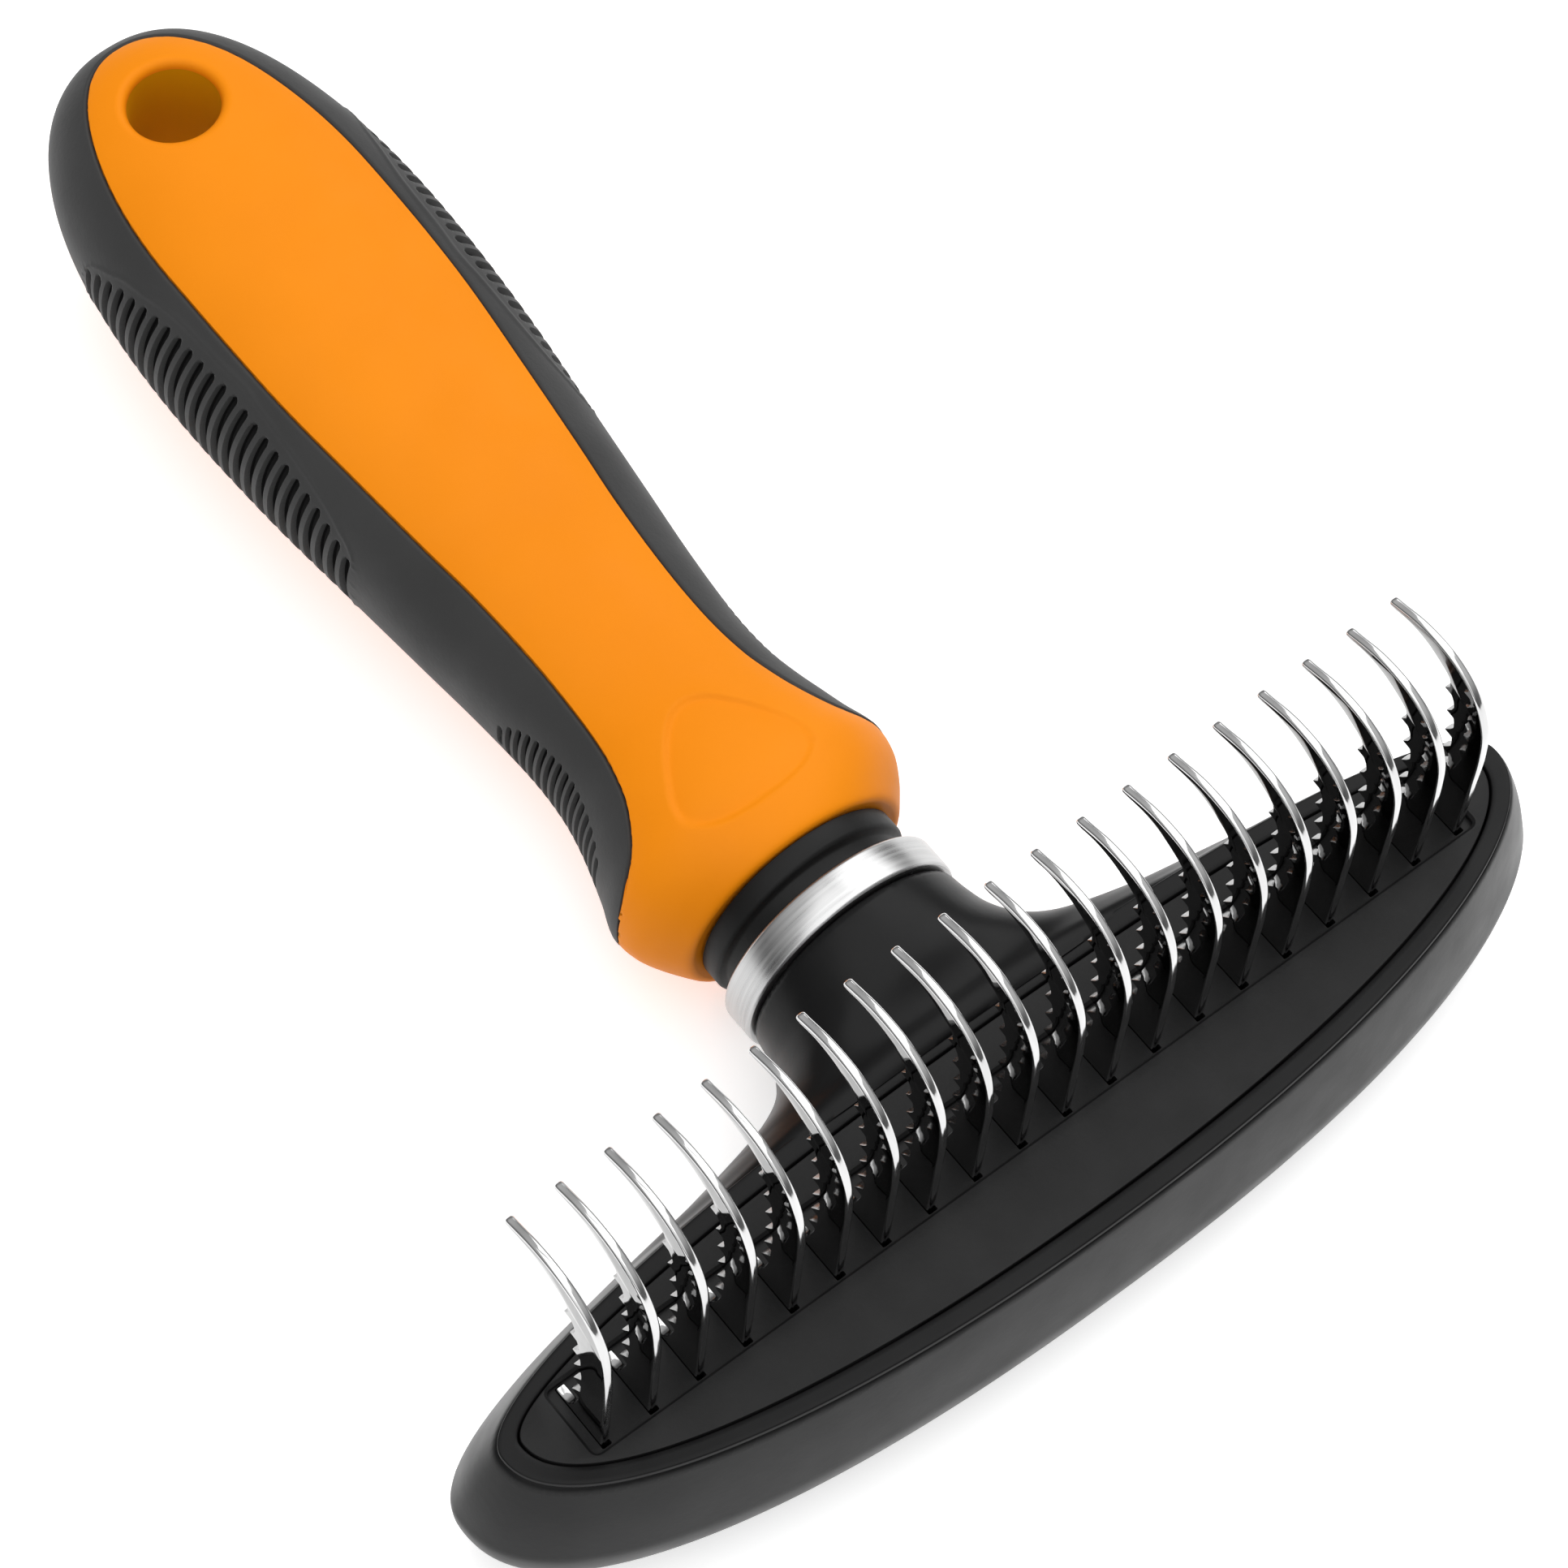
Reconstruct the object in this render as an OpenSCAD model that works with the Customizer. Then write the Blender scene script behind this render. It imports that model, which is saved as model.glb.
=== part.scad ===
// Undercoat rake: twenty curved steel blades in an oval head on an overmoulded handle.
// Millimetres. +X runs along the row of blades, +Y from the head to the hanging end,
// +Z up along the blades. The rake lies on its back: z = 0 is the surface it rests on.

/* [Overall] */
// Length from the front of the head to the hanging end
overall_len = 193.4; // [193:0.1:193.8]
// Height of the blade carrier's face above the surface it rests on
face_z = 26.5; // [26.3:0.1:27]

/* [Head] */
// Length of the oval face of the blade carrier
face_len = 135.3; // [134:0.1:136]
// How far the carrier's oval reaches in front of its long axis
face_front = 16.0; // [15.5:0.1:16.5]
// How far the carrier's oval reaches behind its long axis
face_rear = 8.4; // [8.2:0.1:8.8]
// Width of the flat rim around the blade carrier
rim_w = 2.8; // [2.4:0.1:3]
// Length of the head along its widest line
head_len = 150; // [149:0.5:151]
// Height of the widest line of the head
bulge_z = 11.8; // [11:0.1:12.5]
// Wall thickness of the head shell
shell_t = 3; // [2.6:0.1:3.2]

/* [Blade carrier] */
// Thickness of the carrier plate
carrier_t = 6; // [5.5:0.1:6.5]
// Depth of the trough that the blades stand in
trough_d = 1; // [0.8:0.1:1.4]
// Clearance around the carrier in its pocket
carrier_gap = 0.1; // [0.05:0.05:0.2]
// Thickness of the retainer plate below the carrier
retainer_t = 6; // [5.5:0.1:6.5]

/* [Blades] */
// Distance between neighbouring blades
pitch = 6.35; // [6.3:0.01:6.4]
// Thickness of a blade
blade_t = 1.1; // [1:0.05:1.2]
// Length of a barb on the concave side
barb = 1.15; // [0.8:0.05:1.3]
// Distance between barbs
barb_pitch = 3.7; // [3.6:0.05:3.75]
// Diameter of the rod that strings the blades together
rod_d = 2.4; // [2.2:0.1:2.6]

/* [Neck] */
// Diameter of the ferrule ring
ring_d = 29.6; // [29.4:0.1:29.6]
// Width of the ferrule ring
ring_w = 4.8; // [4.6:0.1:5]
// Diameter of the neck beside the ring
neck_d = 28.6; // [28:0.1:28.8]
// Diameter of the spigot that joins the head to the handle
spigot_d = 20; // [19:0.1:20.2]
// Length of the spigot inside the handle
spigot_len = 18; // [16:0.5:20]
// Diameter of the long screw along the neck
screw_d = 5; // [4:0.5:5.5]

/* [Handle] */
// Diameter of the hanging hole
hang_d = 10.6; // [10:0.1:11]
// Distance from the hanging hole's centre to the end of the handle
hang_inset = 15.2; // [15:0.1:15.6]
// Thickness of the soft grip
grip_t = 2.2; // [2:0.1:2.4]
// Diameter of the moulded cavity along the inside of the handle
core_d = 18; // [17:0.2:18.4]

/* [Hidden] */

// Distances along Y are written from the blades' own line, which lies at row_y
row_y = -overall_len / 2 + 17.74;
end_u = overall_len / 2 - row_y;
neck_z = ring_d / 2;
neck_u = 30.7;
ring_u = neck_u + ring_w;
handle_u = 40.8;
face_u = 2.86;
bulge_u = 4.46;
floor_z = face_z - trough_d;
carrier_z = face_z - carrier_t;
retainer_z = carrier_z - retainer_t;
rod_z = carrier_z - 1.6;
rod_u = 0.6;
cavity_end = 142;
BLACK = [0.13, 0.13, 0.14];
STEEL = [0.78, 0.79, 0.8];
ORANGE = [0.98, 0.57, 0.12];
GREY = [0.23, 0.23, 0.24];

// A smooth curve through [x, value, ...] stations, read off at x for column c
function seg(s, x, i = 0) = i >= len(s) - 2 || x < s[i + 1][0] ? i : seg(s, x, i + 1);
function slope(s, i, c) = let (j = max(i - 1, 0), k = min(i + 1, len(s) - 1))
    (s[k][c] - s[j][c]) / (s[k][0] - s[j][0]);
function curve(s, x, c) = let (i = seg(s, x), h = s[i + 1][0] - s[i][0], t = (x - s[i][0]) / h)
    (2 * t^3 - 3 * t^2 + 1) * s[i][c] + (t^3 - 2 * t^2 + t) * h * slope(s, i, c)
    + (3 * t^2 - 2 * t^3) * s[i + 1][c] + (t^3 - t^2) * h * slope(s, i + 1, c);
// A rounded end: 1 at the start of the cap, 0 at its end
function cap(t, p) = t <= 0 ? 1 : pow(max(1 - pow(t, p), 0), 1 / p);
function sgn_pow(v, e) = sign(v) * pow(abs(v), e);

// A closed skin over a list of rings that all have the same number of points
module skin(rings) {
    n = len(rings[0]);
    m = len(rings);
    polyhedron([for (r = rings) each r], concat(
        [[for (j = [0:n - 1]) j]],
        [for (i = [0:m - 2], j = [0:n - 1])
            [i * n + j, (i + 1) * n + j, (i + 1) * n + (j + 1) % n, i * n + (j + 1) % n]],
        [[for (j = [n - 1:-1:0]) (m - 1) * n + j]]), convexity = 6);
}
// A cylinder along Y from one distance to another
module along(d, from, to, z = neck_z, fn = 64) {
    translate([0, row_y + from, z]) rotate([-90, 0, 0]) cylinder(d = d, h = to - from, $fn = fn);
}

/* ---- Head ---- */
// An oval with one half width in front of its long axis and another behind it:
// o = [half length, front, rear, axis, front exponent, rear exponent], grown outwards by g
function oval(o, g = 0, n = 72) = [for (i = [0:n - 1])
    let (t = 360 * i / n, c = cos(t), s = sin(t), e = 2 / (s > 0 ? o[5] : o[4]))
    [(o[0] + g) * sgn_pow(c, e), row_y + o[3] + ((s > 0 ? o[2] : o[1]) + g) * sgn_pow(s, e)]];
function mix(a, b, t) = [for (i = [0:len(a) - 1]) a[i] + (b[i] - a[i]) * t];
function at_z(points, z) = [for (p = points) [p[0], p[1], z]];
face_oval = [face_len / 2, face_front, face_rear, face_u, 2.12, 2.15];
rim_oval = [face_len / 2 + rim_w, face_front + rim_w, face_rear + rim_w, face_u, 2.12, 2.15];
wide_oval = [head_len / 2, 22.2, 14.2, bulge_u, 2.27, 2.27];
under_oval = [head_len / 2 - 9, 13.6, 5.2, bulge_u, 2.27, 2.27];
module head_body() {
    skin(concat(
        [for (i = [0:6]) let (t = 90 * i / 6)
            at_z(oval(mix(under_oval, wide_oval, sin(t))), bulge_z * (1 - cos(t)))],
        [for (i = [1:5]) let (t = i / 5)
            at_z(oval(mix(wide_oval, rim_oval, t - 0.08 * sin(180 * t))),
                bulge_z + (face_z - 0.4 - bulge_z) * t)],
        [at_z(oval(rim_oval, -0.35), face_z)]));
}
// Stations of the flared neck: [distance, half width, top, bottom, squareness]
neck_stations = [[8, 38, face_z - 3, 2.5, 2.6], [13.5, 36, face_z - 0.9, 1.5, 2.6],
    [16.5, 29, face_z - 0.3, 0.8, 2.5], [19, 22.6, face_z + 0.6, 0.5, 2.3],
    [21.5, 18.5, face_z + 1.5, 0.5, 2.15], [24.5, 16.0, face_z + 2.1, 0.5, 2.05],
    [27.5, 14.9, face_z + 2.5, 0.5, 2], [neck_u, neck_d / 2, neck_z + neck_d / 2,
    neck_z - neck_d / 2, 2]];
function neck_ring(u, n = 60) = let (a = curve(neck_stations, u, 1), hi = curve(neck_stations, u, 2),
        lo = curve(neck_stations, u, 3), e = 2 / curve(neck_stations, u, 4))
    [for (i = [0:n - 1]) let (t = -360 * i / n)
        [a * sgn_pow(cos(t), e), row_y + u, (hi + lo) / 2 + (hi - lo) / 2 * sgn_pow(sin(t), e)]];
module neck_flare() {
    skin([for (i = [0:14]) neck_ring(8 + (neck_u - 8) * i / 14)]);
}
carrier_screw_x = [-38.1, 38.1];
module head_shell() {
    color(BLACK) difference() {
        union() {
            difference() {
                union() {
                    head_body();
                    neck_flare();
                }
                // Pocket for the carrier, and the hollow below it
                translate([0, 0, carrier_z]) linear_extrude(20) polygon(oval(face_oval));
                translate([0, 0, shell_t]) linear_extrude(30) polygon(oval(face_oval, -2.6));
            }
            along(spigot_d, neck_u - 1, handle_u + spigot_len);
            for (x = carrier_screw_x) translate([x, row_y - 6, 1])
                cylinder(d = 8, h = retainer_z - 1, $fn = 32);
        }
        along(screw_d + 0.4, 0, handle_u + spigot_len + 1, fn = 32);
        along(12, 5, 17, fn = 40);
        for (x = carrier_screw_x) translate([x, row_y - 6, -1]) {
            cylinder(d = 3.4, h = 20, $fn = 24);
            cylinder(d = 6.4, h = 4, $fn = 32);
        }
    }
}
// Slots for the tangs, cut through whatever plate they pass
module tang_slots(from, to, u0, u1) {
    for (i = [0:19]) translate([(i - 9.5) * pitch - blade_t / 2 - 0.05, row_y + u0, from])
        cube([blade_t + 0.1, u1 - u0, to - from]);
}
module retainer_screw_at() {
    for (x = [-50.8, -12.7, 12.7, 50.8]) translate([x, row_y - (abs(x) > 40 ? 2.6 : 8), 0]) children();
}
module blade_carrier() {
    color(BLACK) difference() {
        translate([0, 0, carrier_z]) linear_extrude(carrier_t) polygon(oval(face_oval, -carrier_gap));
        translate([-62.2, row_y - 2.86, floor_z]) cube([124.4, 9.06, 5]);
        tang_slots(carrier_z - 1, floor_z + 1, -2.45, 6.05);
        retainer_screw_at() translate([0, 0, carrier_z - 1]) cylinder(d = 2, h = 5, $fn = 24);
    }
}
module blade_retainer() {
    color(BLACK) difference() {
        translate([0, 0, retainer_z]) linear_extrude(retainer_t) polygon(oval(face_oval, -3.2));
        tang_slots(retainer_z - 1, carrier_z + 1, -2.05, 3.25);
        translate([-63, row_y + rod_u, rod_z]) rotate([0, 90, 0])
            cylinder(d = rod_d + 0.1, h = 126, $fn = 24);
        for (s = [-1, 1]) translate([s * 63.2 - 3, row_y + rod_u - 4, retainer_z - 1]) cube([6, 8, 20]);
        retainer_screw_at() translate([0, 0, retainer_z - 1]) {
            cylinder(d = 2.7, h = 10, $fn = 24);
            cylinder(d = 5, h = 3, $fn = 32);
        }
        for (x = carrier_screw_x) translate([x, row_y - 6, retainer_z - 1])
            cylinder(d = 2.4, h = 5, $fn = 24);
    }
}
// A pan-head screw that points up, with its head's underside at z = 0
module screw(d, len, head, head_h, pilot) {
    difference() {
        union() {
            translate([0, 0, -head_h]) cylinder(d = head, h = head_h, $fn = 32);
            translate([0, 0, -0.1]) cylinder(d = d, h = len + 0.1, $fn = 24);
            translate([0, 0, len]) cylinder(d1 = d, d2 = d * 0.4, h = 0.6, $fn = 24);
        }
        translate([-head, -0.25, -head_h - 1]) cube([2 * head, 0.5, 1.6]);
        translate([-0.25, -head, -head_h - 1]) cube([0.5, 2 * head, 1.6]);
    }
}
module retainer_screws() {
    color(STEEL) retainer_screw_at() translate([0, 0, retainer_z + 2]) screw(2, 6.8, 4.4, 1.6);
}
module carrier_screws() {
    color(STEEL) for (x = carrier_screw_x) translate([x, row_y - 6, 3]) screw(2.4, 14, 5.8, 2);
}

/* ---- Blades ---- */
// The back edge of a blade as [step, distance, height above the face]
back_edge = [[0, -2.2, -1], [1, -2.45, 5], [2, -2.6, 11], [3, -2.7, 17], [4, -2.1, 22.6], [5, 0.3, 27],
    [6, 4.4, 29.5], [7, 9.3, 29.9], [8, 14.1, 28.7]];
// The upper, plain part of the concave edge, from the first barb to the tip
front_edge = [[0, 3.9, 25.6], [1, 5.4, 26.7], [2, 8.3, 28.0], [3, 11.2, 28.3], [4, 14.0, 27.7]];
// How far the valleys between the barbs lie from the blades' line, by height
valleys = [[0, 3.2], [3.5, 2.3], [7, 1.9], [11, 1.6], [14.5, 1.8], [18.2, 2.2], [21.9, 2.9], [25.6, 3.9]];
function valley(z) = curve(valleys, z, 1);
barb_top = 23.5;
module blade_outline() {
    back = [for (i = [0:24]) let (t = i / 3) [curve(back_edge, t, 1), curve(back_edge, t, 2)]];
    tip = [for (a = [60:-30:-60]) [14.15 + 0.5 * cos(a), 28.2 + 0.5 * sin(a)]];
    front = [for (i = [10:-1:0]) let (t = i / 2.5) [curve(front_edge, t, 1), curve(front_edge, t, 2)]];
    barbs = [for (k = [0:5]) let (z = barb_top - k * barb_pitch) each [
        [valley(z) + barb, z], [valley(z) + 0.1, z - 0.35], [valley(z - 0.9) + 0.05, z - 0.9]]];
    root = [[3.0, 0.8], [4.0, -0.2], [5.9, -0.5], [5.9, -3.5], [3.1, -3.5], [3.1, -9.8], [-1.9, -9.8],
        [-1.9, -3.5], [-2.2, -3.5]];
    polygon(concat(back, tip, front, barbs, root));
}
module blade(i) {
    color(STEEL) difference() {
        translate([(i - 10.5) * pitch - blade_t / 2, row_y, face_z])
            rotate([90, 0, 90]) linear_extrude(blade_t) blade_outline();
        translate([(i - 10.5) * pitch - 2, row_y + rod_u, rod_z]) rotate([0, 90, 0])
            cylinder(d = rod_d, h = 4, $fn = 24);
    }
}
module blade_rod() {
    color(STEEL) translate([-63.6, row_y + rod_u, rod_z]) rotate([0, 90, 0])
        cylinder(d = rod_d, h = 127.2, $fn = 24);
}
module rod_clips() {
    color(STEEL) for (s = [-1, 1]) translate([s * 62.4 - 0.4, row_y + rod_u, rod_z]) rotate([0, 90, 0])
        difference() {
            cylinder(d = 4.6, h = 0.8, $fn = 32);
            translate([0, 0, -1]) cylinder(d = rod_d, h = 3, $fn = 24);
        }
}

/* ---- Neck ---- */
module ring(profile) {
    translate([0, row_y, neck_z]) rotate([-90, 0, 0]) rotate_extrude($fn = 96) polygon(profile);
}
module ferrule_ring() {
    r = ring_d / 2;
    color([0.8, 0.8, 0.82]) ring([[spigot_d / 2, neck_u], [r - 0.35, neck_u], [r, neck_u + 0.35],
        [r, ring_u - 0.9], [r - 0.6, ring_u], [spigot_d / 2, ring_u]]);
}
module neck_collar() {
    color(BLACK) ring([[spigot_d / 2, ring_u], [12.4, ring_u], [12.4, ring_u + 2.4],
        [13.3, ring_u + 2.7], [13.5, ring_u + 3.2], [13.5, handle_u], [spigot_d / 2, handle_u]]);
}
module neck_screw() {
    color(STEEL) difference() {
        union() {
            along(10.4, 11.4, 16, fn = 40);
            along(screw_d, 15, handle_u + spigot_len + 8, fn = 32);
        }
        translate([0, row_y + 11.3, neck_z]) rotate([-90, 0, 0]) cylinder(d = 4.6, h = 2.6, $fn = 6);
    }
}
module neck_washer() {
    color(STEEL) difference() {
        along(11.4, 16, 17, fn = 40);
        along(screw_d + 0.3, 15, 18, fn = 32);
    }
}
module neck_insert() {
    from = handle_u + spigot_len;
    color([0.8, 0.65, 0.3]) difference() {
        along(spigot_d, from, from + 9);
        along(screw_d, from - 1, from + 10, fn = 32);
    }
}

/* ---- Handle ---- */
// Stations along the handle: [distance, half width, half thickness, height of the mid-plane]
stations = [[handle_u, 14.8, 14.3, 14.8], [42.4, 16.2, 14.8, 14.9], [44.5, 17.8, 15.05, 15.1],
    [47, 19.1, 15.2, 15.25], [50, 19.4, 15.3, 15.35], [54, 17.9, 14.8, 15.6], [60, 16.1, 13.4, 16.2],
    [65, 15.2, 12.3, 16.6], [71, 15.0, 11.6, 17.0], [80, 15.6, 11.6, 17.5], [90, 16.7, 11.9, 18.1],
    [102, 18.0, 12.5, 18.8], [114, 19.3, 13.0, 19.5], [124, 20.0, 13.4, 20.1], [132, 20.3, 13.5, 20.5],
    [145, 20.4, 13.1, 21.2], [160, 20.4, 12.4, 21.7], [180, 20.4, 12.0, 22.0]];
swell_at = 132;
function half_w(u) = curve(stations, u, 1) * cap((u - swell_at) / (end_u - swell_at), 2.4);
function half_t(u) = curve(stations, u, 2) * cap((u - 156) / (end_u - 156), 2.8);
function mid_z(u) = curve(stations, u, 3);
function squareness(u) = 2 + 0.3 * min(max((u - 43) / 14, 0), 1);
function handle_ring(u, inset, n = 40) = let (
        a = max(half_w(u) - inset, 0.05), b = max(half_t(u) - inset, 0.05), e = 2 / squareness(u))
    [for (i = [0:n - 1]) let (t = -360 * i / n)
        [a * sgn_pow(cos(t), e), row_y + u, mid_z(u) + b * sgn_pow(sin(t), e)]];
module handle_body(inset = 0) {
    to = end_u - inset;
    us = concat([for (i = [0:10]) handle_u + 20 * i / 10], [for (i = [1:11]) handle_u + 20 + 80 * i / 11],
        [for (i = [1:11]) 140.8 + (to - 0.02 - 140.8) * sin(90 * i / 11)]);
    skin([for (u = us) handle_ring(u, inset)]);
}
// Half width of the hard window that shows through the soft grip, above and below
window = [[48.5, 20.4], [50, 17.9], [52, 15.5], [54, 14.0], [57, 12.4], [60, 11.4], [64, 10.5],
    [70, 9.95], [78, 9.9], [88, 10.5], [96, 11.4], [108, 12.6], [120, 13.7], [130, 14.1], [141, 14.2],
    [180, 14.2]];
function window_x(u) = curve(window, u, 1) * cap((u - 141) / 30.8, 2.06);
module window_prism() {
    us = concat([for (i = [0:11]) 48.5 + 16.5 * i / 11], [for (i = [1:16]) 65 + 76 * i / 16],
        [for (i = [1:12]) 141 + 30.8 * sin(90 * i / 12)]);
    half = [for (u = us) [window_x(u), row_y + u]];
    translate([0, 0, -5]) linear_extrude(60) polygon(concat(
        [[-30, row_y + 30], [30, row_y + 30], [30, row_y + 48.5]], half,
        [for (i = [len(half) - 2:-1:0]) [-half[i][0], half[i][1]]], [[-30, row_y + 48.5]]));
}
module handle_core() {
    color(ORANGE) difference() {
        intersection() {
            handle_body();
            union() {
                handle_body(grip_t);
                window_prism();
            }
        }
        translate([0, row_y + end_u - hang_inset, 0]) cylinder(d = hang_d, h = 60, $fn = 48);
        along(spigot_d, handle_u - 1, handle_u + spigot_len + 9);
        // The moulded cavity follows the rise of the handle
        translate([0, row_y + handle_u + spigot_len + 8, mid_z(70) - 0.6]) rotate([-87, 0, 0])
            cylinder(d = core_d, h = cavity_end - handle_u - spigot_len - 8, $fn = 48);
    }
}
module grip_sleeve() {
    color(GREY) difference() {
        handle_body();
        handle_body(grip_t);
        window_prism();
    }
}

head_shell();
blade_carrier();
blade_retainer();
retainer_screws();
carrier_screws();
blade(1);  // blade_01
blade(2);  // blade_02
blade(3);  // blade_03
blade(4);  // blade_04
blade(5);  // blade_05
blade(6);  // blade_06
blade(7);  // blade_07
blade(8);  // blade_08
blade(9);  // blade_09
blade(10);  // blade_10
blade(11);  // blade_11
blade(12);  // blade_12
blade(13);  // blade_13
blade(14);  // blade_14
blade(15);  // blade_15
blade(16);  // blade_16
blade(17);  // blade_17
blade(18);  // blade_18
blade(19);  // blade_19
blade(20);  // blade_20
blade_rod();
rod_clips();
neck_screw();
neck_washer();
neck_insert();
ferrule_ring();
neck_collar();
handle_core();
grip_sleeve();
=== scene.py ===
from math import radians, pi, cos, sin

import bmesh
import bpy
import numpy as np
from mathutils import Matrix, Vector


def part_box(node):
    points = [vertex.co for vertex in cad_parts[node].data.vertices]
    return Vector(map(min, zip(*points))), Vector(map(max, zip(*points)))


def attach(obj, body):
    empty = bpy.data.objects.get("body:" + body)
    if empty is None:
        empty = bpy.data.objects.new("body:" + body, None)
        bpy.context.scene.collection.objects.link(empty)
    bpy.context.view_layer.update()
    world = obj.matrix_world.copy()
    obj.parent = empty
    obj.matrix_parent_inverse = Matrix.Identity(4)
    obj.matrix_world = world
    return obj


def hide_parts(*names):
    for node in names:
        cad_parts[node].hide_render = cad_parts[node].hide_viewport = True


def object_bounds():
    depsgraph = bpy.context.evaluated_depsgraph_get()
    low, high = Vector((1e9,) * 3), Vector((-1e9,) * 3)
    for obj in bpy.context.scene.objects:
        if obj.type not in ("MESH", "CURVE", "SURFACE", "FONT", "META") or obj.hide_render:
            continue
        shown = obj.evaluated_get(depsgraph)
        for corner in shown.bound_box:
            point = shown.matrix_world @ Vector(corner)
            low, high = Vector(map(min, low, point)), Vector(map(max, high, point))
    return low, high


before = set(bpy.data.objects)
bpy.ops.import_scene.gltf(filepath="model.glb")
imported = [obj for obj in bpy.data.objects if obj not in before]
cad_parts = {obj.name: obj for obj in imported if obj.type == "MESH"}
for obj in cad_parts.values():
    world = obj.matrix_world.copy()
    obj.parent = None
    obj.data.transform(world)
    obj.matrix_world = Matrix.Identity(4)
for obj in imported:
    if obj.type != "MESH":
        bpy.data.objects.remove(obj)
cad_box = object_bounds()

# All shapes are worked out in millimetres. "u" runs along +Y from the line of the blades.
END_U = 175.66                                     # far end of the handle
ROW_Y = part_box("grip_sleeve")[1].y * 1000 - END_U  # Y of the line of the blades
FACE_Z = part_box("blade_carrier")[1].z * 1000       # face that the blades stand on
NECK_Z = 14.8                                      # height of the axis of the neck


# ---------------------------------------------------------------- helpers
def curve(table, x, col=1):
    """Smooth curve through the rows of a table (first column is the station)."""
    t = np.asarray(table, float)
    s, v = t[:, 0], t[:, col]
    m = np.empty(len(s))
    m[1:-1] = (v[2:] - v[:-2]) / (s[2:] - s[:-2])
    m[0] = (v[1] - v[0]) / (s[1] - s[0])
    m[-1] = (v[-1] - v[-2]) / (s[-1] - s[-2])
    x = np.clip(np.asarray(x, float), s[0], s[-1])
    i = np.clip(np.searchsorted(s, x, side="right") - 1, 0, len(s) - 2)
    h = s[i + 1] - s[i]
    t1 = (x - s[i]) / h
    t2, t3 = t1 ** 2, t1 ** 3
    return ((2 * t3 - 3 * t2 + 1) * v[i] + (t3 - 2 * t2 + t1) * h * m[i]
            + (3 * t2 - 2 * t3) * v[i + 1] + (t3 - t2) * h * m[i + 1])


def cap(t, p):
    """Falls from 1 at t = 0 to 0 at t = 1 like a rounded end of power p."""
    t = np.asarray(t, float)
    return np.where(t <= 0, 1.0, np.maximum(1 - np.abs(t) ** p, 0) ** (1 / p))


def smooth01(t):
    """Smooth step from 0 to 1."""
    t = np.clip(t, 0, 1)
    return t * t * (3 - 2 * t)


def to_world(p):
    """From (x, u, z) in millimetres to metres in the shared frame."""
    p = np.array(p, float)
    p[:, 1] += ROW_Y
    return p * 0.001


def grid_quads(n, m, wrap_m=False):
    """Faces of an n x m grid of points, numbered row by row."""
    out = []
    for i in range(n - 1):
        for j in range(m if wrap_m else m - 1):
            k = (j + 1) % m
            out.append((i * m + j, i * m + k, (i + 1) * m + k, (i + 1) * m + j))
    return out


def make_piece(name, verts, faces, mats, nodes=(), sharp=35, face_mats=None,
               flat_first=False):
    """A smooth-shaded piece that rides on the root body and replaces the CAD nodes named."""
    mesh = bpy.data.meshes.new(name)
    mesh.from_pydata(to_world(verts).tolist(), [], faces)
    if face_mats is not None:
        mesh.polygons.foreach_set("material_index", np.asarray(face_mats, np.int32))
    bm = bmesh.new()
    bm.from_mesh(mesh)
    bmesh.ops.remove_doubles(bm, verts=bm.verts, dist=2e-7)
    bmesh.ops.dissolve_degenerate(bm, edges=bm.edges, dist=1e-8)
    bmesh.ops.recalc_face_normals(bm, faces=bm.faces)
    if bm.calc_volume(signed=True) < 0:
        bmesh.ops.reverse_faces(bm, faces=bm.faces)
    bm.to_mesh(mesh)
    bm.free()
    mesh.polygons.foreach_set("use_smooth", [True] * len(mesh.polygons))
    if flat_first:  # faces of the first material keep their own normals
        for poly in mesh.polygons:
            if poly.material_index == 0:
                poly.use_smooth = False
    mesh.set_sharp_from_angle(angle=radians(sharp))
    obj = bpy.data.objects.new(name, mesh)
    bpy.context.scene.collection.objects.link(obj)
    for m in mats:
        mesh.materials.append(m)
    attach(obj, "root")
    if nodes:
        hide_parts(*nodes)
    return obj


def revolve(profile, n=192):
    """Ring of points for each (radius, u) of a closed profile, about the axis of the neck."""
    a = np.linspace(0, 2 * pi, n, endpoint=False)
    rows = [np.c_[r * np.cos(a), np.full(n, u), NECK_Z + r * np.sin(a)] for r, u in profile]
    rows.append(rows[0])
    verts = np.vstack(rows)
    return verts, grid_quads(len(rows), n, wrap_m=True)


# ---------------------------------------------------------------- materials
NOISE_LOW, NOISE_HIGH = 0.3, 0.7       # range of a noise that ramps and spreads use
DRIFT_SCALE, GLOSS_SCALE = 45.0, 160.0  # slow colour drift and uneven gloss, per metre


def new_material(name):
    m = bpy.data.materials.new(name)
    m.use_nodes = True
    nt = m.node_tree
    bsdf = nt.nodes["Principled BSDF"]
    coord = nt.nodes.new("ShaderNodeTexCoord")
    return m, nt, bsdf, coord.outputs["Object"]


def noise(nt, vec, scale, detail=2.0, rough=0.5, stretch=None):
    if stretch:
        mp = nt.nodes.new("ShaderNodeMapping")
        mp.inputs["Scale"].default_value = stretch
        nt.links.new(vec, mp.inputs["Vector"])
        vec = mp.outputs["Vector"]
    n = nt.nodes.new("ShaderNodeTexNoise")
    n.inputs["Scale"].default_value = scale
    n.inputs["Detail"].default_value = detail
    n.inputs["Roughness"].default_value = rough
    nt.links.new(vec, n.inputs["Vector"])
    return n.outputs["Fac"]


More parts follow.
